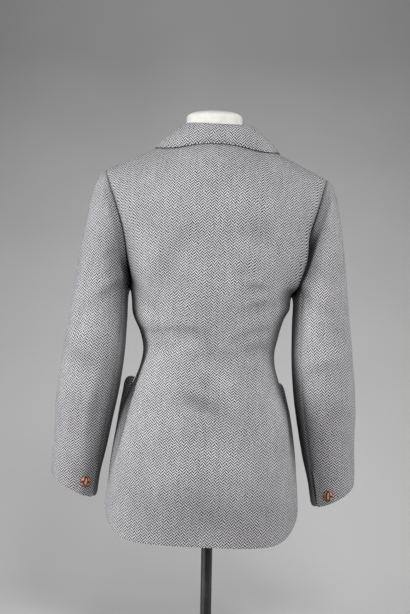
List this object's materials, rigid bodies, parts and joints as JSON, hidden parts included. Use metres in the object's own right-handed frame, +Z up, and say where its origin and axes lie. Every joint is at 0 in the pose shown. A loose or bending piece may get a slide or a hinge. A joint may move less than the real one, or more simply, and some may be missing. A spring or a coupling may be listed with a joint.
{
  "type": "wool jacket on dress form",
  "caption": "Fitted herringbone wool jacket with turned-down collar, notched lapels, set-in sleeves and patch pockets, worn by a limbless dress form on a pole with a round base.",
  "frame": {"origin": "centre of the underside of the stand's base", "axes": "+Z up along the pole, -Y towards the jacket's front, +X towards the wearer's left"},
  "size_m": [0.5548, 0.3, 0.98],
  "materials": {
    "wool": "grey herringbone wool, soft nap",
    "button_leather": "tan, domed, satin",
    "form_cover": "cream jersey, matt",
    "stand_metal": "black, satin"
  },
  "bodies": {
    "root": {"back_left": "wool", "back_right": "wool", "front_left": "wool", "front_right": "wool", "sleeve_top_left": "wool", "sleeve_top_right": "wool", "sleeve_under_left": "wool", "sleeve_under_right": "wool", "collar": "wool", "lapel_left": "wool", "lapel_right": "wool", "pocket_left": "wool", "pocket_right": "wool", "cuff_button_left": "button_leather", "cuff_button_right": "button_leather", "front_button_top": "button_leather", "front_button_middle": "button_leather", "front_button_low": "button_leather", "form_body": "form_cover", "form_pole": "stand_metal", "form_base": "stand_metal"}
  },
  "joints": []
}
